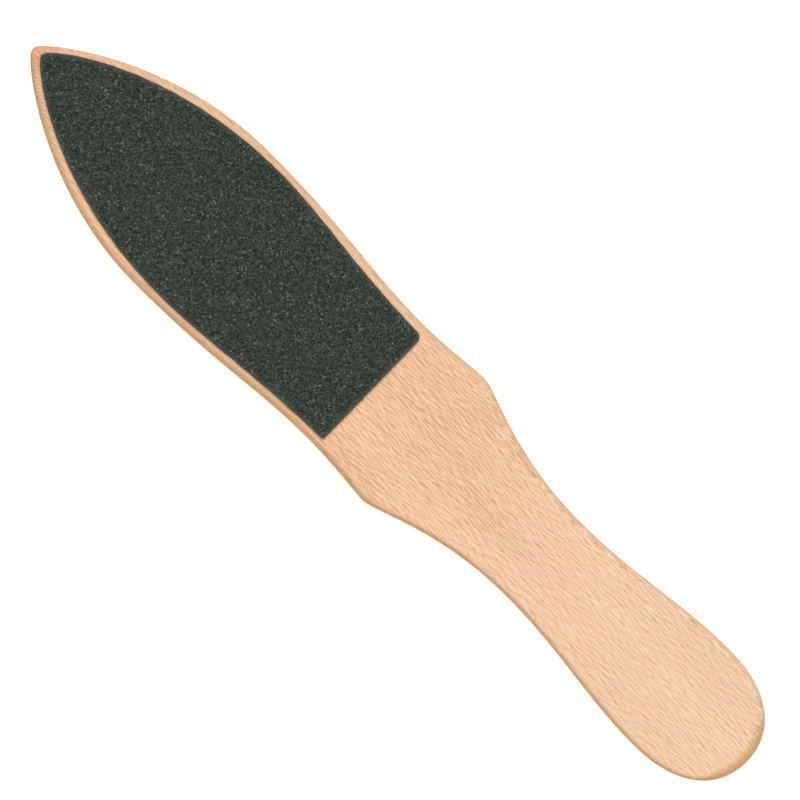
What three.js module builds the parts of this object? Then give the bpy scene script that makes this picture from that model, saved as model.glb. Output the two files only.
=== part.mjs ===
// A wooden foot file: a thin beech paddle with a sheet of abrasive paper glued to each face of its blade.
// Millimetres. +X runs along the paddle towards the blade's tip and +Z is up. The origin is the middle of
// the object's box, on the surface that the file lies on with its fine side down.

import * as THREE from "three";

// The paddle
const LENGTH = 252.2;
const WOOD_THICKNESS = 4.5;
const EDGE_ROUND = 1.5;

// One abrasive sheet, as the thickness of each of its layers
const ADHESIVE_THICKNESS = 0.1;
const COARSE = { backing: 0.25, grit: 0.35 };
const FINE = { backing: 0.2, grit: 0.2 };

// How finely curves are divided
const CURVE_SEGMENTS = 16;
const EDGE_SEGMENTS = 4;

// An outline is symmetric about the long axis, so one half describes it. It starts as a round nose and goes
// on through stations, joined by cubic curves. At a station, `at` is the distance from the paddle's tip,
// `half` is half the width, `slope` is the angle at which the outline opens, and `before` and `after` are
// the lengths of the curve's handles on either side.
const PADDLE_NOSE = { at: 0, radius: 2, turn: 0.686, after: 6.83 };
const PADDLE_STATIONS = {
  belly: { at: 59.7, half: 23.55, slope: 0, before: 30.96, after: 28.4 },
  waist: { at: 117.7, half: 20.3, slope: 0, before: 18.95, after: 9.1 },
  shoulder: { at: 138.2, half: 21.56, slope: -0.04, before: 2.34, after: 4.67 },
  neck: { at: 180.3, half: 13.1, slope: 0, before: 23.5, after: 19.75 },
  palm: { at: 229.5, half: 16.94, slope: 0, before: 17.8, after: 13.8 },
  heel: { at: LENGTH, half: 0, slope: -Math.PI / 2, before: 10.7, after: 10.7 },
};

// The abrasive sheet follows the blade and leaves a narrow border of wood. It is cut off square before the
// waist, and its two corners there are cut to different radii.
const SHEET_NOSE = { at: 2.85, radius: 1.5, turn: 0.4877, after: 3.34 };
const SHEET_STATIONS = {
  belly: { at: 65.75, half: 21.52, slope: 0, before: 38.26, after: 16.27 },
  cut: { at: 120.2, half: 17.88, slope: -0.0258, before: 25.9, after: 25.9 },
};
const SHARP_CORNER = 0.5;
const ROUND_CORNER = 2.5;
const CUT_SKEW = 0.33;
const COARSE_SHEET_TURN = -0.0042;
const FINE_SHEET_TURN = 0.002;

const COLOURS = {
  beech: { color: 0xeec29b, roughness: 0.6 },
  adhesive: { color: 0xd9c79a, roughness: 0.4 },
  paper: { color: 0x9b7a52, roughness: 0.9 },
  coarseGrit: { color: 0x3c433c, roughness: 0.95 },
  fineGrit: { color: 0x4a5049, roughness: 0.95 },
};

// A point given by its distance from the tip and its place across, in the paddle's own frame.
function point(at, across) {
  return new THREE.Vector2(LENGTH / 2 - at, across);
}

// The end of a station's handle: `reach` is negative on the side nearer the tip.
function handle(station, reach) {
  return {
    at: station.at + reach * Math.cos(station.slope),
    half: station.half + reach * Math.sin(station.slope),
  };
}

// Where the round nose ends and the side starts, as a station. Its `before` is the handle with which one
// cubic curve draws the whole arc of the nose, twice `turn` round.
function noseEnd(nose) {
  return {
    at: nose.at + nose.radius * (1 - Math.cos(nose.turn)),
    half: nose.radius * Math.sin(nose.turn),
    slope: Math.PI / 2 - nose.turn,
    before: (4 / 3) * Math.tan(nose.turn / 2) * nose.radius,
    after: nose.after,
  };
}

// Starts the outline with the nose's arc, from the -Y side round to the +Y side.
function addNose(shape, nose) {
  const start = point(nose.at, -nose.half);
  const end = point(nose.at, nose.half);
  const bow = handle(nose, -nose.before);
  const first = point(bow.at, -bow.half);
  const second = point(bow.at, bow.half);
  shape.moveTo(start.x, start.y);
  shape.bezierCurveTo(first.x, first.y, second.x, second.y, end.x, end.y);
}

// Draws the cubic curve from one station to the next, on the side given by `side` (+1 or -1).
function addSpan(shape, from, to, side) {
  const forward = to.at > from.at;
  const leave = forward ? handle(from, from.after) : handle(from, -from.before);
  const arrive = forward ? handle(to, -to.before) : handle(to, to.after);
  const first = point(leave.at, side * leave.half);
  const second = point(arrive.at, side * arrive.half);
  const end = point(to.at, side * to.half);
  shape.bezierCurveTo(first.x, first.y, second.x, second.y, end.x, end.y);
}

// Draws the curves through a row of stations, one after the other.
function addSide(shape, stations, side) {
  for (let i = 1; i < stations.length; i += 1) {
    addSpan(shape, stations[i - 1], stations[i], side);
  }
}

function paddleOutline() {
  const shape = new THREE.Shape();
  const stations = [noseEnd(PADDLE_NOSE), ...Object.values(PADDLE_STATIONS)];
  addNose(shape, stations[0]);
  addSide(shape, stations, 1);
  addSide(shape, stations.toReversed(), -1);
  return shape;
}

// The sheet's straight end. Each side stops short of its corner by the corner's radius, and a curve with
// the corner as its control point rounds it. The +Y corner lies further from the tip than the -Y one.
function sheetOutline() {
  const shape = new THREE.Shape();
  const { belly, cut } = SHEET_STATIONS;
  const nose = noseEnd(SHEET_NOSE);
  const sharpSide = { ...cut, at: cut.at + CUT_SKEW - SHARP_CORNER };
  const roundSide = { ...cut, at: cut.at - CUT_SKEW - ROUND_CORNER };
  const sharpCorner = point(cut.at + CUT_SKEW, cut.half);
  const sharpEnd = point(cut.at + CUT_SKEW, cut.half - SHARP_CORNER);
  const roundCorner = point(cut.at - CUT_SKEW, -cut.half);
  const roundStart = point(cut.at - CUT_SKEW, ROUND_CORNER - cut.half);
  const roundEnd = point(roundSide.at, -roundSide.half);
  addNose(shape, nose);
  addSide(shape, [nose, belly, sharpSide], 1);
  shape.quadraticCurveTo(sharpCorner.x, sharpCorner.y, sharpEnd.x, sharpEnd.y);
  shape.lineTo(roundStart.x, roundStart.y);
  shape.quadraticCurveTo(roundCorner.x, roundCorner.y, roundEnd.x, roundEnd.y);
  addSide(shape, [roundSide, belly, nose], -1);
  return shape;
}

function material(name) {
  return new THREE.MeshStandardMaterial({ ...COLOURS[name], metalness: 0 });
}

function mesh(name, geometry, materialName) {
  const made = new THREE.Mesh(geometry, material(materialName));
  made.name = name;
  return made;
}

// The board: its outline with both edges rounded over, standing on z = 0.
function makePaddle() {
  const geometry = new THREE.ExtrudeGeometry(paddleOutline(), {
    depth: WOOD_THICKNESS - 2 * EDGE_ROUND,
    curveSegments: CURVE_SEGMENTS,
    bevelThickness: EDGE_ROUND,
    bevelSize: EDGE_ROUND,
    bevelOffset: -EDGE_ROUND,
    bevelSegments: EDGE_SEGMENTS,
  });
  geometry.translate(0, 0, EDGE_ROUND);
  return mesh("paddle", geometry, "beech");
}

// One layer of an abrasive sheet, with its lower face at `bottom`.
function makeLayer(name, thickness, bottom, materialName) {
  const geometry = new THREE.ExtrudeGeometry(sheetOutline(), {
    depth: thickness,
    curveSegments: CURVE_SEGMENTS,
    bevelEnabled: false,
  });
  const layer = mesh(name, geometry, materialName);
  layer.position.z = bottom;
  return layer;
}

// Turns a sheet's layers a little in their own plane, about the middle of the straight end, because
// the sheets are stuck on by hand.
function turnSheet(layers, angle) {
  const pivot = point(SHEET_STATIONS.cut.at, 0);
  for (const layer of layers) {
    layer.rotation.z = angle;
    layer.position.x = pivot.x * (1 - Math.cos(angle));
    layer.position.y = -pivot.x * Math.sin(angle);
  }
}

// The fine sheet, with its grit down on the resting surface.
function makeRearSheet() {
  const layers = [
    makeLayer("rear_grit", FINE.grit, 0, "fineGrit"),
    makeLayer("rear_backing", FINE.backing, FINE.grit, "paper"),
    makeLayer("rear_adhesive", ADHESIVE_THICKNESS, FINE.grit + FINE.backing, "adhesive"),
  ];
  turnSheet(layers, FINE_SHEET_TURN);
  return layers;
}

// The coarse sheet, stuck to the board's upper face at `bottom`.
function makeFrontSheet(bottom) {
  const backingBottom = bottom + ADHESIVE_THICKNESS;
  const layers = [
    makeLayer("front_adhesive", ADHESIVE_THICKNESS, bottom, "adhesive"),
    makeLayer("front_backing", COARSE.backing, backingBottom, "paper"),
    makeLayer("front_grit", COARSE.grit, backingBottom + COARSE.backing, "coarseGrit"),
  ];
  turnSheet(layers, COARSE_SHEET_TURN);
  return layers;
}

const boardBottom = FINE.grit + FINE.backing + ADHESIVE_THICKNESS;
const paddle = makePaddle();
paddle.position.z = boardBottom;

const group = new THREE.Group();
group.add(paddle, ...makeRearSheet(), ...makeFrontSheet(boardBottom + WOOD_THICKNESS));

export default group;
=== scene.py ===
"""A wooden foot file lying on a white table, seen from straight above.

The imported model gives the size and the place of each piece. The script rebuilds the pieces as finer meshes:
the beech board with its sanded edges, and on each face of the blade a film of glue, a backing paper and a
coat of abrasive grain.
"""

import math

import bpy
import numpy as np
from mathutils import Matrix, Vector, noise
from mathutils.geometry import delaunay_2d_cdt


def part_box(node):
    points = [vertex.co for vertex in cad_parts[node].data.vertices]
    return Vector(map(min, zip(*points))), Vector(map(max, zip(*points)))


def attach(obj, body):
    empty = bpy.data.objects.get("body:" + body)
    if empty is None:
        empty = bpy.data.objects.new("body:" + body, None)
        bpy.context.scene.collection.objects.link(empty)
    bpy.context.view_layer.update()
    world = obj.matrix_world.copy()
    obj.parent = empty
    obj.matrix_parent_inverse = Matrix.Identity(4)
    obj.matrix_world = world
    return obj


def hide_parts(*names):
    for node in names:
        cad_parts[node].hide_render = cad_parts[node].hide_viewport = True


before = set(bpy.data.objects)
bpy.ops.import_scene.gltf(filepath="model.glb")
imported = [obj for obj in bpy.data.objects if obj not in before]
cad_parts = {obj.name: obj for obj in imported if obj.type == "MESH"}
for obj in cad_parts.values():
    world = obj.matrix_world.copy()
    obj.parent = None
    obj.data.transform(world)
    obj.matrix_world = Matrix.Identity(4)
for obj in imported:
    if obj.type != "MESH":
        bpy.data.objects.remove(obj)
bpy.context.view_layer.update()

# Lengths below are in millimetres. They become metres as the meshes are made.
MM = 0.001

# How far apart the meshes' points are: along the board's outline, over a flat face, and along the outline of
# a glue film or a paper. A curve between two points of a CAD outline is first cut into CURVE_PIECES.
OUTLINE_STEP = 0.6
FACE_STEP = 3.0
FILM_STEP = 0.5
CURVE_PIECES = 12

# The loose triangular grid that fills a face. Its rows are ROW_PITCH steps apart, each of its points may be
# off by LOOSENESS steps, and those nearer than CLEARANCE steps to the face's edge are left out.
ROW_PITCH = math.sqrt(0.75)
LOOSENESS = 0.22
CLEARANCE = 0.6

# Settings of the triangulation: keep only what is inside the edge, and merge points closer than this
INSIDE_ONLY = 1
MERGE_DISTANCE = 1e-7

# The seed of the board's random draws, and how far apart the smooth random values of two seeds are taken
BOARD_SEED = 1
SEED_SPACING = 7.3

# How far over a node's top a slice ends, so that the points of the top are in it
SLICE_MARGIN = 1.0

# Places along x are from the file's middle. From here to there the handle's shape becomes the blade's, and
# the palm's wood becomes the blade's.
SHOULDER = (-25.0, 0.0)
PALM = (-85.0, -5.0)

# The outline becomes the heel as the backward part of its normal goes from the one to the other
HEEL_FACING = (0.5, 1.0)

# How wide the board's edges are rounded on the handle, on the blade, at the nose and at the heel. Behind
# the nose, the rounding and its band may each grow by NOSE_TAPER for each millimetre back from the tip.
HANDLE_ROUND = 1.25
BLADE_ROUND = 1.75
NOSE_ROUND = 1.2
HEEL_ROUND = 2.6
NOSE_TAPER = 0.1

# How far that width wanders, and over what length. How deep the rounding goes at most, as a share of the
# board's thickness, and how many steps it has
ROUND_WANDER = 0.2
ROUND_WANDER_LENGTH = 20.0
EDGE_SHARE = 0.36
EDGE_STEPS = 8

# The band along the edges runs this far in, past the rounding. Its darker grey on the rounding is partly the
# sanded wood's own tone and partly painted shade. The painted warm shade on the side away from the light has
# this share of its strength on the blade.
HANDLE_BAND = 0.75
BLADE_BAND = 1.3
NOSE_BAND = 0.3
BLADE_WARM_SHADE = 0.9

# The colours of beech. Those after "cream" multiply the colour that they fall on.
BEECH = {
    "streak": (0.62, 0.325, 0.18, 1),
    "cream": (0.93, 0.66, 0.435, 1),
    "yellow": (0.995, 1.015, 0.95, 1),
    "pink": (1.02, 0.983, 1.005, 1),
    "pale": (0.98, 1.045, 1.08, 1),
    # Darker grey on the rounded edges: partly the sanded wood's own tone, partly painted shade
    "edge": (0.75, 0.745, 0.735, 1),
    # Painted warm shade on the edges that face away from the light
    "painted_warm_shade": (0.82, 0.77, 0.65, 1),
    "end_grain": (0.87, 0.78, 0.63, 1),
    "fresh": (1.01, 1.06, 1.10, 1),
    "torn_dark": (0.82, 0.70, 0.69, 1),
    # Painted sheen: light stripes on the handle's rounding that faces the light
    "painted_sheen": (1.04, 1.11, 1.23, 1),
    "cutter_mark": (0.86, 0.81, 0.73, 1),
}

# Its grain: fine ridges, each light on one side and darker on the other, that sway along the board. Each
# pattern has the size of its features along x, y and z, and its strength. The sway's is how far it reaches.
GRAIN = {
    "sway": ((22, 8, 8), 2.1),
    "ridges": ((2.6, 0.38, 0.38), 0.7),
    "fibres": ((3.0, 0.3, 0.3), 0.38),
    "pores": ((2.6, 0.22, 0.22), 0.2),
    "specks": ((0.28, 0.28, 0.28), 0.8),
    "tone": ((45, 7, 7), 0.2),
}

# The ridges: how far it is from one's light side to its dark side, how much stronger the dark side is than
# the light one, and how deep they look
RIDGE_WIDTH = 0.46
RIDGE_DARKNESS = 1.6
RIDGE_DEPTH = 0.02

# Blender's noise goes from 0 to 1 about its middle, and its finer layers fade by its roughness
NOISE_MIDDLE = 0.5
NOISE_ROUGHNESS = 0.55

# Where in their noise the pores are, and the yellow and pink patches, whose size is PATCHES
PORE_RANGE = (0.62, 0.74)
PATCHES = (3.2, 1.8, 1.8)
PATCH_RANGE = (0.35, 0.65)

# How light the wood is, and how strong its grain, first at the palm and then on the blade. The grain keeps
# EDGE_CONTRAST of its strength at the edges.
LIGHTNESS = (0.52, 0.45)
CONTRAST = (0.72, 1.0)
EDGE_CONTRAST = 0.6

# How rough the wood is, first where it is dark and then where it is light, and how much it mirrors
WOOD_ROUGHNESS = (0.68, 0.5)
WOOD_SPECULAR = 0.35

# Where each mark of the edges comes in, from 0 at the inner side of the band to 1 at its outer side. A mark
# whose range falls is strongest at the inner side.
CALM_RANGE = (0.0, 0.5)
PALE_RANGE = (0.9, 0.3)
EDGE_RANGE = (0.35, 0.95)
WARM_SHADE_RANGE = (0.25, 0.85)
HEEL_RANGE = (0.1, 0.5)
TORN_AND_SHEEN_RANGE = (0.0, 0.25)
TORN_AND_SHEEN_FADE_RANGE = (0.8, 0.5)
CUTTER_RANGE = (0.0, 0.4)
FRESH_RANGE = (0.6, 0.4)

# Where the nose's end grain begins along x, and the cutter's marks and the fresh border along x and y. The
# cutter's marks are CUTTER_PITCH apart.
NOSE = (118.0, 124.0)
CUTTER_FROM = ((104.0, 114.0), (0.0, 2.0))
FRESH_FROM = ((8.0, 14.0), (0.0, -2.0))
CUTTER_PITCH = 0.95

# The torn fibres and the painted sheen between them: the size of their stripes, and where in their noise the
# dark fibres and the light stripes of painted sheen are
TORN_AND_SHEEN_STRIPES = (2.0, 0.34, 0.34)
TORN_DARK_RANGE = (0.48, 0.36)
SHEEN_STRIPE_RANGE = (0.46, 0.6)

# How rough each layer of a sheet is cut. Its outline also wanders, by CUT_WANDER times that roughness over
# CUT_WANDER_LENGTH. Halfway up, a film swells by FILM_SWELL times its roughness, and a coat of grain by
# GRIT_SWELL.
CUT_ROUGHNESS = {"glue": 0.08, "paper": 0.04, "grit": 0.09}
CUT_WANDER = 1.2
CUT_WANDER_LENGTH = 2.5
FILM_SWELL = 0.5
GRIT_SWELL = 0.02

# The grain is worn this far in from the cut edge. At the edge it rises by WORN_RELIEF of the height that it
# has elsewhere, and BINDER_SHARE of its colour is the binder's. A higher PEAK_POWER makes high points rarer.
WORN_EDGE = 1.3
WORN_RELIEF = 0.6
BINDER_SHARE = 0.6
PEAK_POWER = 1.3

# What the two coats share: how rare the lighter grains are, the size of the warm and cool patches and where
# in their noise they are, which grains get a painted glint and how strong it is, and how rough, deep and
# mirroring the grains are.
# A depth below 0 makes the middle of a grain its highest point.
LIGHT_POWER = 1.5
HUE_PATCHES = (0.7, 0.7, 0.7)
WARM_RANGE = (0.5, 0.7)
COOL_RANGE = (0.5, 0.3)
PAINTED_GLINT_RANGE = (0.93, 1.0)
PAINTED_GLINT_SHARE = 0.8
GRIT_ROUGHNESS = (0.95, 0.6)
GRIT_DEPTH = -0.1
GRIT_SPECULAR = 0.15

# The two abrasive sheets: the side they are on, the seed that their layers count from, how far apart the
# grain's points are, how far they rise and fall, whether they are shaded smooth, how big the grains look,
# and their colours. warm and cool multiply the colour that they fall on, and the glint is a painted
# highlight.
COARSE = {
    "name": "coarse",
    "side": "front",
    "up": True,
    "seed": 10,
    "step": 0.26,
    "relief": 0.2,
    "smooth": False,
    "grain": 0.37,
    "dark": (0.014, 0.018, 0.014, 1),
    "light": (0.066, 0.085, 0.067, 1),
    "warm": (1.15, 1.0, 0.85, 1),
    "cool": (0.85, 1.0, 1.15, 1),
    # Painted highlight on a few grains
    "painted_glint": (0.17, 0.19, 0.17, 1),
    "binder": (0.088, 0.086, 0.066, 1),
}
FINE = {
    "name": "fine",
    "side": "rear",
    "up": False,
    "seed": 20,
    "step": 0.4,
    "relief": 0.08,
    "smooth": True,
    "grain": 0.25,
    "dark": (0.03, 0.038, 0.03, 1),
    "light": (0.09, 0.10, 0.09, 1),
    "warm": (1.1, 1.0, 0.9, 1),
    "cool": (0.9, 1.0, 1.1, 1),
    # Painted highlight on a few grains
    "painted_glint": (0.2, 0.22, 0.2, 1),
    "binder": (0.06, 0.06, 0.05, 1),
}

# The backing paper, the dried glue and the table. Each has a noise of some size between its two colours.
# The glue's roughness follows its noise over a range, first where it is low and then where it is high. The
# table reaches this far each way, and glows.
PAPER = {
    "size": (0.5, 0.12, 0.12),
    "detail": 2.0,
    "dark": (0.16, 0.09, 0.045, 1),
    "light": (0.42, 0.28, 0.16, 1),
    "roughness": 0.9,
    "depth": 0.05,
    "specular": 0.2,
}
GLUE = {
    "size": (1.5, 1.5, 1.5),
    "detail": 2.0,
    "dark": (0.5, 0.38, 0.2, 1),
    "light": (0.72, 0.6, 0.4, 1),
    "range": (0.3, 0.7),
    "roughness": (0.25, 0.5),
    "depth": 0.02,
    "specular": 0.5,
}
TABLE = {
    "reach": 3000.0,
    "size": (60, 60, 60),
    "dark": (0.96, 0.96, 0.96, 1),
    "light": (0.98, 0.98, 0.98, 1),
    "roughness": 0.9,
    "depth": 0.0,
    "specular": 0.1,
    "glow": (1, 1, 1, 1),
    "glow_strength": 0.35,
}

# The camera looks straight down at VIEW_CENTRE and sees VIEW_WIDTH across. It is turned so that the file
# lies from corner to corner.
VIEW_WIDTH = 200.0
VIEW_CENTRE = (-0.89, -2.76)
VIEW_TURN = math.radians(-135)
LENS = 300.0
SENSOR = 36.0

# The light: an even sky and one broad softbox, tilted from straight down
SKY = {"strength": 0.95, "colour": (1.0, 0.985, 0.955, 1)}
SOFTBOX = {"strength": 0.95, "colour": (0.93, 0.98, 1.15), "softness": 0.5, "tilt": math.radians(-45)}


# ---- Outlines ----

def node_box(node):
    """A CAD node's lowest and highest corners, in millimetres."""
    return [np.array(corner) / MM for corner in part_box(node)]


def cad_outline(node, low, high):
    """The points that a CAD node has between two heights, in order anticlockwise round the node's middle."""
    middle = sum(node_box(node)) / 2
    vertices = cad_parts[node].data.vertices
    points = np.array(sorted({(v.co.x / MM, v.co.y / MM) for v in vertices if low < v.co.z / MM < high}))
    away = points - middle[:2]
    return points[np.argsort(np.arctan2(away[:, 1], away[:, 0]))]


def catmull_rom(a, b, c, d, share):
    """The points a share of the way from b to c, on centripetal Catmull-Rom curves through a, b, c and d."""
    ab, bc, cd = (np.sqrt(np.linalg.norm(q - p, axis=1))[:, None] for p, q in ((a, b), (b, c), (c, d)))
    u = share * bc
    left = (b * (u + ab) - a * u) / ab
    middle = b + (c - b) * u / bc
    right = (c * (bc + cd - u) + d * (u - bc)) / cd
    inner = (left * (bc - u) + middle * (u + ab)) / (ab + bc)
    outer = (middle * (bc + cd - u) + right * u) / (bc + cd)
    return inner + (outer - inner) * share


def resampled(outline, step):
    """The smooth closed curve through an outline's points, cut into equal steps of about `step`."""
    before, after, later = (np.roll(outline, shift, axis=0) for shift in (1, -1, -2))
    shares = [piece / CURVE_PIECES for piece in range(CURVE_PIECES)]
    dense = [catmull_rom(before, outline, after, later, share) for share in shares]
    dense = np.stack(dense, axis=1).reshape(-1, 2)
    closed = np.vstack([dense, dense[:1]])
    length = np.concatenate([[0], np.cumsum(np.linalg.norm(np.diff(closed, axis=0), axis=1))])
    count = round(length[-1] / step)
    at = np.arange(count) * length[-1] / count
    return np.column_stack([np.interp(at, length, closed[:, axis]) for axis in (0, 1)])


def outward(outline):
    """The unit normal at each point of an anticlockwise outline."""
    along = np.roll(outline, -1, axis=0) - np.roll(outline, 1, axis=0)
    normal = np.column_stack([along[:, 1], -along[:, 0]])
    return normal / np.linalg.norm(normal, axis=1)[:, None]


def depth_inside(points, outline):
    """How far inside an outline each point lies, batch by batch to spare memory. It is negative outside."""
    start, side = outline, np.roll(outline, -1, axis=0) - outline
    depth = np.empty(len(points))
    batch = 2048
    for first in range(0, len(points), batch):
        away = points[first:first + batch, None, :] - start
        share = np.clip((away * side).sum(2) / (side ** 2).sum(1), 0, 1)
        distance = np.linalg.norm(away - side * share[..., None], axis=2).min(1)
        spans = (away[..., 1] < 0) != (away[..., 1] < side[:, 1])
        rise = np.where(side[:, 1] == 0, 1, side[:, 1])
        right = away[..., 0] < side[:, 0] * away[..., 1] / rise
        inside = (spans & right).sum(1) % 2 == 1
        depth[first:first + batch] = np.where(inside, distance, -distance)
    return depth


def wander(outline, wavelength, reach, seed):
    """A smooth random value at each point of an outline, from about -reach to reach."""
    place = Vector((0, 0, seed * SEED_SPACING))
    values = [noise.noise(Vector((x, y, 0)) / wavelength + place) for x, y in outline]
    return np.array(values) * reach


def smoothstep(value, low, high):
    """Goes smoothly from 0 to 1 as the value goes from low to high."""
    share = np.clip((value - low) / (high - low), 0, 1)
    return share * share * (3 - 2 * share)


# ---- Meshes ----

def filled(edge, step, random):
    """Fills a ring with points on a loose triangular grid.

    Returns the new points, how far inside the ring each one lies, and triangles over the ring and them.
    """
    low, high = edge.min(0), edge.max(0)
    x, y = np.meshgrid(np.arange(low[0], high[0], step), np.arange(low[1], high[1], step * ROW_PITCH))
    x[1::2] += step / 2
    grid = np.column_stack([x.ravel(), y.ravel()])
    grid += random.uniform(-LOOSENESS, LOOSENESS, grid.shape) * step
    depth = depth_inside(grid, edge)
    kept = depth > step * CLEARANCE
    inner, depth = grid[kept], depth[kept]
    points = [Vector(point) for point in np.vstack([edge, inner])]
    ring = list(range(len(edge)))
    _, _, triangles, *_ = delaunay_2d_cdt(points, [], [ring], INSIDE_ONLY, MERGE_DISTANCE)
    return inner, depth, triangles


def flat_at(height):
    """The heights of a flat face, for closed_shell."""
    return lambda depth: np.full(len(depth), height)


def closed_shell(rings, bottom, top, random):
    """A closed mesh: rings of points from the bottom up, and a filled face over the first and last ring.

    `bottom` and `top` are each the spacing of a face's points and a function that gives their heights. The
    third thing returned is how far inside its ring each point lies.
    """
    count = len(rings[0])
    vertices, faces, depths = list(rings), [], [np.zeros(count)] * len(rings)
    for ring in range(len(rings) - 1):
        for here in range(count):
            after = (here + 1) % count
            low, high = ring * count, (ring + 1) * count
            faces.append((low + here, low + after, high + after, high + here))
    used = len(rings) * count
    for ring, (step, height), turn in ((0, bottom, -1), (len(rings) - 1, top, 1)):
        inner, depth, triangles = filled(rings[ring][:, :2], step, random)
        vertices.append(np.column_stack([inner, height(depth)]))
        depths.append(depth)
        index = [*range(ring * count, (ring + 1) * count), *range(used, used + len(inner))]
        faces += [tuple(index[corner] for corner in triangle)[::turn] for triangle in triangles]
        used += len(inner)
    return np.vstack(vertices), faces, np.concatenate(depths)


def add_piece(name, vertices, faces, material, node, smooth=True, values=None):
    """Makes a mesh that rides on the file's one body and stands for a CAD node."""
    mesh = bpy.data.meshes.new(name)
    mesh.from_pydata([tuple(point) for point in vertices * MM], [], faces)
    for key, value in (values or {}).items():
        mesh.attributes.new(key, "FLOAT", "POINT").data.foreach_set("value", value.astype(np.float32))
    mesh.materials.append(material)
    if smooth:
        mesh.shade_smooth()
    piece = bpy.data.objects.new(name, mesh)
    bpy.context.scene.collection.objects.link(piece)
    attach(piece, "root")
    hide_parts(node)


# ---- The board ----

def edge_widths(outline, on_blade, at_heel, nose):
    """How wide the rounding is at each point of the board's outline, and how wide it is with the band."""
    width = HANDLE_ROUND + (BLADE_ROUND - HANDLE_ROUND) * on_blade + (HEEL_ROUND - HANDLE_ROUND) * at_heel
    width += wander(outline, ROUND_WANDER_LENGTH, ROUND_WANDER, BOARD_SEED)
    room = NOSE_TAPER * (nose - outline[:, 0])
    width = np.minimum(width, NOSE_ROUND + room)
    band = width + np.minimum(HANDLE_BAND + (BLADE_BAND - HANDLE_BAND) * on_blade, NOSE_BAND + room)
    return width, band


def edge_rings(outline, normal, width, band, low, high):
    """Rings from the band's inner side under the board, round its edge, to the band's inner side on top.

    The second thing returned is how far in from the outline each ring of the lower half is.
    """
    fall = np.minimum(width, (high - low) * EDGE_SHARE)
    turns = np.linspace(0, math.pi / 2, EDGE_STEPS + 1)
    insets = [band] + [width * (1 - math.sin(turn)) for turn in turns]
    drops = [0 * width] + [fall * (1 - math.cos(turn)) for turn in turns]
    places = [outline - normal * inset[:, None] for inset in insets]
    under = [np.column_stack([place, low + drop]) for place, drop in zip(places, drops)]
    over = [np.column_stack([place, high - drop]) for place, drop in zip(places, drops)]
    return under + over[::-1], insets


def edge_marks(normal, on_blade, at_heel, worn):
    """What the wood's material reads from the board's rings, each value from the inner ring to the outer.

    They are how far out in the band a point is, the same at the heel, on the side away from the light that
    gets painted warm shade and on the handle's side that has torn fibres and painted sheen, and how far along
    the outline it is.
    """
    # Painted warm shade falls on the edges that face +y, away from the light
    shaded_side = np.maximum(normal[:, 1], 0) * (1 + (BLADE_WARM_SHADE - 1) * on_blade)
    torn_and_sheen = np.maximum(-normal[:, 1], 0) * (1 - on_blade)
    return {
        "worn": worn,
        "heel": [at_heel * each for each in worn],
        "shaded_side": [shaded_side * each for each in worn],
        "torn_and_sheen": [torn_and_sheen * each for each in worn],
        "along_edge": [np.arange(len(normal)) * OUTLINE_STEP] * len(worn),
    }


def mirrored(by_ring, count):
    """The values of the board's `count` points: by ring below, the same above, and 0 on the two faces."""
    on_rings = np.concatenate(by_ring + by_ring[::-1])
    return np.concatenate([on_rings, np.zeros(count - len(on_rings))])


def make_board(material):
    """The paddle: two flat faces joined by hand-sanded, rounded edges."""
    low, high = node_box("paddle")
    thickness = high[2] - low[2]
    quarter, middle = low[2] + thickness / 4, low[2] + thickness / 2
    outline = resampled(cad_outline("paddle", quarter, middle), OUTLINE_STEP)
    normal = outward(outline)
    on_blade = smoothstep(outline[:, 0], *SHOULDER)
    at_heel = smoothstep(-normal[:, 0], *HEEL_FACING)
    width, band = edge_widths(outline, on_blade, at_heel, high[0])
    rings, insets = edge_rings(outline, normal, width, band, low[2], high[2])
    bottom, top = (FACE_STEP, flat_at(low[2])), (FACE_STEP, flat_at(high[2]))
    vertices, faces, _ = closed_shell(rings, bottom, top, np.random.default_rng(BOARD_SEED))
    marks = edge_marks(normal, on_blade, at_heel, [1 - inset / band for inset in insets])
    values = {name: mirrored(by_ring, len(vertices)) for name, by_ring in marks.items()}
    add_piece("paddle_board", vertices, faces, material, "paddle", values=values)


# ---- The abrasive sheets ----

def cut_outline(node, step, roughness, seed):
    """A sheet's outline, with the small irregularity of its cut edge."""
    low, high = node_box(node)
    outline = resampled(cad_outline(node, (low[2] + high[2]) / 2, high[2] + SLICE_MARGIN), step)
    random = np.random.default_rng(seed)
    wavy = wander(outline, CUT_WANDER_LENGTH, CUT_WANDER, seed)
    inset = roughness * (wavy + random.uniform(0, 1, len(outline)))
    return outline - outward(outline) * inset[:, None]


def make_film(name, node, material, roughness, seed):
    """A thin layer of a sheet: the paper or the glue."""
    low, high = node_box(node)
    outline = cut_outline(node, FILM_STEP, roughness, seed)
    middle = outline + outward(outline) * roughness * FILM_SWELL
    heights = (low[2], (low[2] + high[2]) / 2, high[2])
    places = (outline, middle, outline)
    rings = [np.column_stack([place, np.full(len(place), z)]) for place, z in zip(places, heights)]
    bottom, top = (FACE_STEP, flat_at(low[2])), (FACE_STEP, flat_at(high[2]))
    vertices, faces, _ = closed_shell(rings, bottom, top, np.random.default_rng(seed))
    add_piece(name, vertices, faces, material, node)


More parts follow.
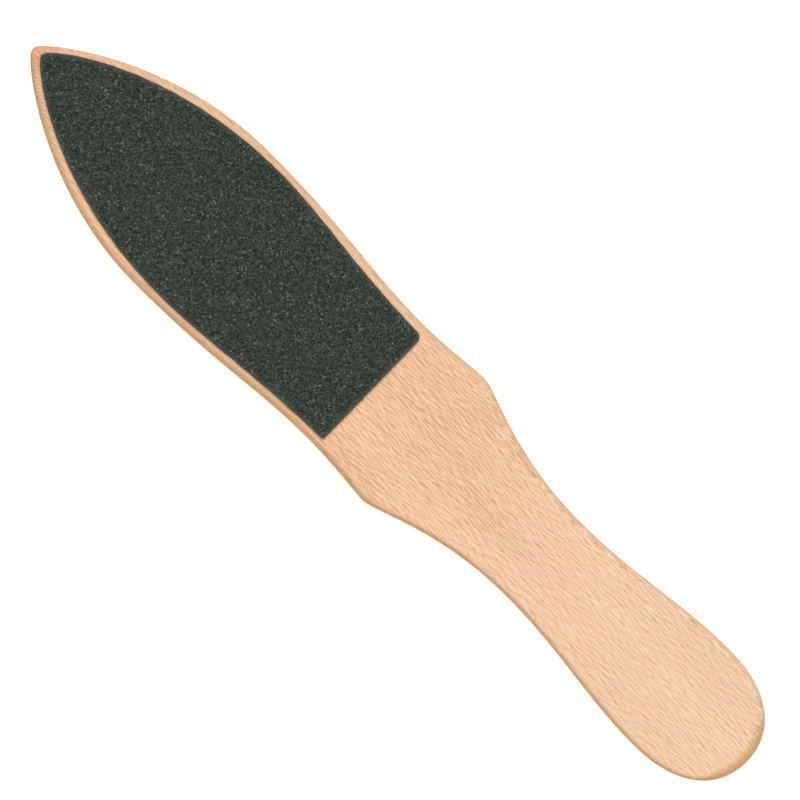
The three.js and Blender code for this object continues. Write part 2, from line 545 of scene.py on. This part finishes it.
def make_grit(name, node, material, look, seed):
    """A coat of abrasive grain. Its points rise by chance, and less so beside the cut edge."""
    low, high = node_box(node)
    back, front = (low[2], high[2]) if look["up"] else (high[2], low[2])
    out = 1 if look["up"] else -1
    outline = cut_outline(node, look["step"], CUT_ROUGHNESS["grit"], seed)
    random = np.random.default_rng(seed)

    def heights(depth):
        chance = random.uniform(0, 1, len(depth)) ** PEAK_POWER
        worn = WORN_RELIEF + (1 - WORN_RELIEF) * smoothstep(depth, 0, WORN_EDGE)
        return front - out * look["relief"] * (1 - chance * worn)

    edge = heights(np.zeros(len(outline)))
    middle = outline + outward(outline) * GRIT_SWELL
    rings = [np.column_stack([outline, np.full(len(outline), back)]),
             np.column_stack([middle, (back + edge) / 2]),
             np.column_stack([outline, edge])]
    flat, rough = (FACE_STEP, flat_at(back)), (look["step"], heights)
    if look["up"]:
        vertices, faces, depth = closed_shell(rings, flat, rough, random)
    else:
        vertices, faces, depth = closed_shell(rings[::-1], rough, flat, random)
    values = {"edge": 1 - smoothstep(depth, 0, WORN_EDGE)}
    add_piece(name, vertices, faces, material, node, smooth=look["smooth"], values=values)


def make_sheet(look, coat, paper, glue):
    """An abrasive sheet in its three layers: the glue against the board, the paper and the coat of grain."""
    side, seed = look["side"], look["seed"]
    make_film(f"{side}_glue", f"{side}_adhesive", glue, CUT_ROUGHNESS["glue"], seed + 1)
    make_film(f"{side}_paper", f"{side}_backing", paper, CUT_ROUGHNESS["paper"], seed + 2)
    make_grit(f"{look['name']}_grit", f"{side}_grit", coat, look, seed + 3)


# ---- Materials ----

# The Mix node's sockets for colours: its two inputs and its output
MIX_A = 6
MIX_B = 7
MIX_RESULT = 2


class Material:
    """A procedural material. Each method adds nodes and returns what they give out.

    `place` is each point's place in the file's own frame, in millimetres.
    """

    def __init__(self, name):
        self.made = bpy.data.materials.new(name)
        self.made.use_nodes = True
        self.tree = self.made.node_tree
        self.surface = self.tree.nodes["Principled BSDF"]
        place = self.node("TexCoord").outputs["Object"]
        self.place = self.vector("DIVIDE", place, (MM, MM, MM))

    def node(self, kind, inputs=None, **settings):
        made = self.tree.nodes.new("ShaderNode" + kind)
        for key, value in settings.items():
            setattr(made, key, value)
        for key, value in (inputs or {}).items():
            self.give(made.inputs[key], value)
        return made

    def give(self, socket, value):
        if isinstance(value, bpy.types.NodeSocket):
            self.tree.links.new(value, socket)
        else:
            socket.default_value = value

    def math(self, operation, a, b=0.0, clamp=False):
        return self.node("Math", {0: a, 1: b}, operation=operation, use_clamp=clamp).outputs[0]

    def vector(self, operation, a, b):
        return self.node("VectorMath", {0: a, 1: b}, operation=operation).outputs[0]

    def noise(self, at, size, detail=0.0, output="Fac"):
        """Smooth noise whose features are about `size` along x, y and z."""
        at = self.vector("DIVIDE", at, size)
        inputs = {"Vector": at, "Scale": 1.0, "Detail": detail, "Roughness": NOISE_ROUGHNESS}
        return self.node("TexNoise", inputs).outputs[output]

    def cells(self, at, size):
        """Cells of about `size`: how far a point is from its cell's middle, and the cell's random colour."""
        at = self.vector("DIVIDE", at, size)
        outputs = self.node("TexVoronoi", {"Vector": at, "Scale": 1.0}).outputs
        return outputs["Distance"], outputs["Color"]

    def part(self, vector, axis):
        return self.node("SeparateXYZ", {0: vector}).outputs[axis]

    def step(self, value, low, high, start=0.0, end=1.0):
        """Goes smoothly from start to end as the value goes from low to high."""
        inputs = {"Value": value, "From Min": low, "From Max": high, "To Min": start, "To Max": end}
        return self.node("MapRange", inputs, interpolation_type="SMOOTHSTEP").outputs["Result"]

    def beyond(self, along, across):
        """Goes from 0 to 1 over one range of places along x, and over another along y."""
        past_x = self.step(self.part(self.place, 0), *along)
        past_y = self.step(self.part(self.place, 1), *across)
        return self.math("MULTIPLY", past_x, past_y)

    def blend(self, share, a, b, blend_type="MIX"):
        """Two colours mixed: a where the share is 0, and b where it is 1."""
        made = self.node("Mix", {0: share}, data_type="RGBA", blend_type=blend_type)
        self.give(made.inputs[MIX_A], a)
        self.give(made.inputs[MIX_B], b)
        return made.outputs[MIX_RESULT]

    def tint(self, share, colour, by):
        """A colour, multiplied by another where the share is 1."""
        return self.blend(share, colour, by, "MULTIPLY")

    def attribute(self, name):
        return self.node("Attribute", attribute_name=name).outputs["Fac"]

    def finish(self, colour, roughness, height, depth, specular):
        """Connects the surface and returns the material. `depth` is how deep the height pattern looks."""
        bump = self.node("Bump", {"Height": height, "Distance": depth * MM, "Strength": 1.0})
        self.give(self.surface.inputs["Base Color"], colour)
        self.give(self.surface.inputs["Roughness"], roughness)
        self.give(self.surface.inputs["Normal"], bump.outputs["Normal"])
        self.surface.inputs["Specular IOR Level"].default_value = specular
        return self.made


def wood_pattern(wood):
    """The light and shade of beech's grain: the ridges alone, and their sum with all the other patterns."""
    size, reach = GRAIN["sway"]
    sway = wood.noise(wood.place, size, output="Color")
    sway = wood.vector("SUBTRACT", sway, (NOISE_MIDDLE, NOISE_MIDDLE, NOISE_MIDDLE))
    at = wood.vector("ADD", wood.place, wood.vector("MULTIPLY", sway, (0, reach, reach)))
    size, strength = GRAIN["ridges"]
    beside = wood.vector("ADD", at, (0, RIDGE_WIDTH, 0))
    ridges = wood.math("SUBTRACT", wood.noise(at, size), wood.noise(beside, size))
    ridges = wood.math("MINIMUM", ridges, wood.math("MULTIPLY", ridges, RIDGE_DARKNESS))
    light = wood.math("MULTIPLY", ridges, strength)
    for name, place in (("fibres", at), ("specks", wood.place), ("tone", wood.place)):
        size, strength = GRAIN[name]
        pattern = wood.math("SUBTRACT", wood.noise(place, size), NOISE_MIDDLE)
        light = wood.math("ADD", light, wood.math("MULTIPLY", pattern, strength))
    size, strength = GRAIN["pores"]
    pores = wood.step(wood.noise(at, size), *PORE_RANGE, 0.0, strength)
    return ridges, wood.math("SUBTRACT", light, pores)


def shaded_edges_and_end_grain(wood, colour):
    """Painted shade on the edges over the sanded tone, warm on one side; browner end grain at the heel and at
    the nose.
    """
    # Painted shade: the rounded edges turn a darker grey, together with the sanded wood's darker tone
    colour = wood.tint(wood.step(wood.attribute("worn"), *EDGE_RANGE), colour, BEECH["edge"])
    # Painted warm shade on the side that faces away from the light
    colour = wood.tint(wood.step(wood.attribute("shaded_side"), *WARM_SHADE_RANGE), colour, BEECH["painted_warm_shade"])
    heel = wood.step(wood.attribute("heel"), *HEEL_RANGE)
    nose = wood.step(wood.part(wood.place, 0), *NOSE)
    return wood.tint(wood.math("MAXIMUM", heel, nose), colour, BEECH["end_grain"])


def torn_fibres_and_sheen(wood, colour):
    """Short dark fibres where the cutter has torn the grain, with light stripes of painted sheen between
    them, along the handle's side towards the light.
    """
    torn_and_sheen = wood.step(wood.attribute("torn_and_sheen"), *TORN_AND_SHEEN_RANGE)
    torn_and_sheen = wood.math("MULTIPLY", torn_and_sheen, wood.step(wood.attribute("worn"), *TORN_AND_SHEEN_FADE_RANGE))
    fibres = wood.noise(wood.place, TORN_AND_SHEEN_STRIPES)
    dark = wood.math("MULTIPLY", torn_and_sheen, wood.step(fibres, *TORN_DARK_RANGE))
    # Painted highlight: the light stripes stand for sheen on the rounding, between the torn fibres
    light = wood.math("MULTIPLY", torn_and_sheen, wood.step(fibres, *SHEEN_STRIPE_RANGE))
    return wood.tint(light, wood.tint(dark, colour, BEECH["torn_dark"]), BEECH["painted_sheen"])


def cutter_marks(wood, colour):
    """Small even marks across the edge, on the nose's side that faces away from the light."""
    phase = wood.math("MULTIPLY", wood.attribute("along_edge"), 2 * math.pi / CUTTER_PITCH)
    marked = wood.step(wood.math("SINE", phase), 0.0, 1.0)
    marked = wood.math("MULTIPLY", marked, wood.step(wood.attribute("worn"), *CUTTER_RANGE))
    return wood.tint(wood.math("MULTIPLY", marked, wood.beyond(*CUTTER_FROM)), colour, BEECH["cutter_mark"])


def fresh_border(wood, colour):
    """The blade's border is paler beside the sheet, on its -y side."""
    fresh = wood.math("MULTIPLY", wood.step(wood.attribute("worn"), *FRESH_RANGE), wood.beyond(*FRESH_FROM))
    return wood.tint(fresh, colour, BEECH["fresh"])


def beech():
    """Sanded bare beech: close, fine, broken streaks along the board, calmer towards the handle's end."""
    wood = Material("beech")
    ridges, light = wood_pattern(wood)
    along, worn = wood.part(wood.place, 0), wood.attribute("worn")
    light = wood.math("MULTIPLY", light, wood.step(along, *PALM, *CONTRAST))
    light = wood.math("MULTIPLY", light, wood.step(worn, *CALM_RANGE, 1.0, EDGE_CONTRAST))
    light = wood.math("ADD", light, wood.step(along, *PALM, *LIGHTNESS), clamp=True)
    colour = wood.blend(light, BEECH["streak"], BEECH["cream"])
    patches = wood.noise(wood.place, PATCHES, output="Color")
    colour = wood.tint(wood.step(wood.part(patches, 0), *PATCH_RANGE), colour, BEECH["yellow"])
    colour = wood.tint(wood.step(wood.part(patches, 1), *PATCH_RANGE), colour, BEECH["pink"])
    pale = wood.math("MULTIPLY", wood.step(along, *PALM, 1.0, 0.0), wood.step(worn, *PALE_RANGE))
    colour = wood.tint(pale, colour, BEECH["pale"])
    for mark in (shaded_edges_and_end_grain, fresh_border, torn_fibres_and_sheen, cutter_marks):
        colour = mark(wood, colour)
    roughness = wood.step(light, 0.0, 1.0, *WOOD_ROUGHNESS)
    return wood.finish(colour, roughness, ridges, RIDGE_DEPTH, WOOD_SPECULAR)


def grain(look):
    """Bonded mineral grain: small cells of random dark greys, a few painted glints, and binder at the edge.
    """
    coat = Material(f"{look['name']}_grain")
    size = look["grain"]
    middle, chance = coat.cells(coat.place, (size, size, size))
    lightness, smoothness, brilliance = (coat.part(chance, axis) for axis in range(3))
    colour = coat.blend(coat.math("POWER", lightness, LIGHT_POWER), look["dark"], look["light"])
    hue = coat.noise(coat.place, HUE_PATCHES)
    colour = coat.tint(coat.step(hue, *WARM_RANGE), colour, look["warm"])
    colour = coat.tint(coat.step(hue, *COOL_RANGE), colour, look["cool"])
    # Painted highlight: a few cells take the light colour of a glint
    colour = coat.blend(coat.step(brilliance, *PAINTED_GLINT_RANGE, 0.0, PAINTED_GLINT_SHARE), colour, look["painted_glint"])
    colour = coat.blend(coat.math("MULTIPLY", coat.attribute("edge"), BINDER_SHARE), colour, look["binder"])
    roughness = coat.step(smoothness, 0.0, 1.0, *GRIT_ROUGHNESS)
    return coat.finish(colour, roughness, middle, GRIT_DEPTH, GRIT_SPECULAR)


def kraft_paper():
    """Brown backing paper with its fibres along the file."""
    paper = Material("kraft_paper")
    fibres = paper.noise(paper.place, PAPER["size"], PAPER["detail"])
    colour = paper.blend(fibres, PAPER["dark"], PAPER["light"])
    return paper.finish(colour, PAPER["roughness"], fibres, PAPER["depth"], PAPER["specular"])


def dried_glue():
    """Cloudy amber glue, shinier where it is darker."""
    glue = Material("dried_glue")
    cloud = glue.noise(glue.place, GLUE["size"], GLUE["detail"])
    colour = glue.blend(cloud, GLUE["dark"], GLUE["light"])
    roughness = glue.step(cloud, *GLUE["range"], *GLUE["roughness"])
    return glue.finish(colour, roughness, cloud, GLUE["depth"], GLUE["specular"])


def white_table():
    """A white surface that glows a little, so that it looks white all over."""
    white = Material("white_table")
    cloud = white.noise(white.place, TABLE["size"])
    colour = white.blend(cloud, TABLE["dark"], TABLE["light"])
    white.surface.inputs["Emission Color"].default_value = TABLE["glow"]
    white.surface.inputs["Emission Strength"].default_value = TABLE["glow_strength"]
    return white.finish(colour, TABLE["roughness"], cloud, TABLE["depth"], TABLE["specular"])


# ---- Setting ----

def make_floor():
    """The table under the file."""
    reach = TABLE["reach"] * MM
    corners = [(-reach, -reach, 0), (reach, -reach, 0), (reach, reach, 0), (-reach, reach, 0)]
    mesh = bpy.data.meshes.new("floor")
    mesh.from_pydata(corners, [], [(0, 1, 2, 3)])
    mesh.materials.append(white_table())
    floor = bpy.data.objects.new("floor", mesh)
    bpy.context.scene.collection.objects.link(floor)


def make_camera():
    """A long lens, so high that it sees VIEW_WIDTH across at the middle of the board's thickness."""
    data = bpy.data.cameras.new("camera")
    data.lens, data.sensor_width = LENS, SENSOR
    camera = bpy.data.objects.new("camera", data)
    bpy.context.scene.collection.objects.link(camera)
    low, high = node_box("paddle")
    height = (low[2] + high[2]) / 2 + VIEW_WIDTH * LENS / SENSOR
    camera.location = Vector((*VIEW_CENTRE, height)) * MM
    camera.rotation_euler = (0, 0, VIEW_TURN)
    bpy.context.scene.camera = camera


def make_light():
    """A broad soft light from beyond the top of the view, and an even sky."""
    data = bpy.data.lights.new("softbox", "SUN")
    data.energy, data.color, data.angle = SOFTBOX["strength"], SOFTBOX["colour"], SOFTBOX["softness"]
    light = bpy.data.objects.new("softbox", data)
    light.rotation_euler = (SOFTBOX["tilt"], 0, VIEW_TURN)
    bpy.context.scene.collection.objects.link(light)
    world = bpy.data.worlds.new("studio")
    world.use_nodes = True
    background = world.node_tree.nodes["Background"]
    background.inputs["Color"].default_value = SKY["colour"]
    background.inputs["Strength"].default_value = SKY["strength"]
    bpy.context.scene.world = world
    bpy.context.scene.view_settings.view_transform = "Standard"


make_floor()
make_camera()
make_light()
make_board(beech())
paper = kraft_paper()
glue = dried_glue()
for look in (COARSE, FINE):
    make_sheet(look, grain(look), paper, glue)
